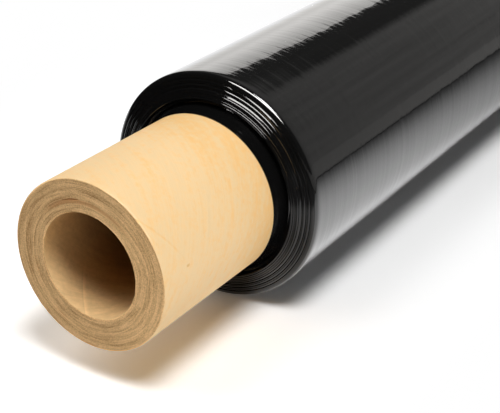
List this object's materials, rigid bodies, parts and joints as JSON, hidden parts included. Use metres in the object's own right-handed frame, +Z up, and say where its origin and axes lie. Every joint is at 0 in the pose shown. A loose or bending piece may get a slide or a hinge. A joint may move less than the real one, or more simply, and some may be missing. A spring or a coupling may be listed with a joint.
{
  "type": "stretch wrap roll",
  "caption": "Roll of glossy black stretch film wound tight on a thick kraft paperboard tube, which stands out past the film at each end and is open right through.",
  "frame": {"origin": "on the floor, under the middle of the roll, which lies on its film", "axes": "+Y along the roll's axis, away from the end that the picture shows; +Z up"},
  "size_m": [0.0888, 0.646, 0.0885],
  "materials": {
    "kraft_board": "plain kraft board, matt, with a rougher and darker cut end",
    "black_film": "glossy black film, finely ribbed round the roll"
  },
  "bodies": {
    "root": {"cardboard_core": "kraft_board", "wound_film": "black_film"}
  },
  "joints": []
}
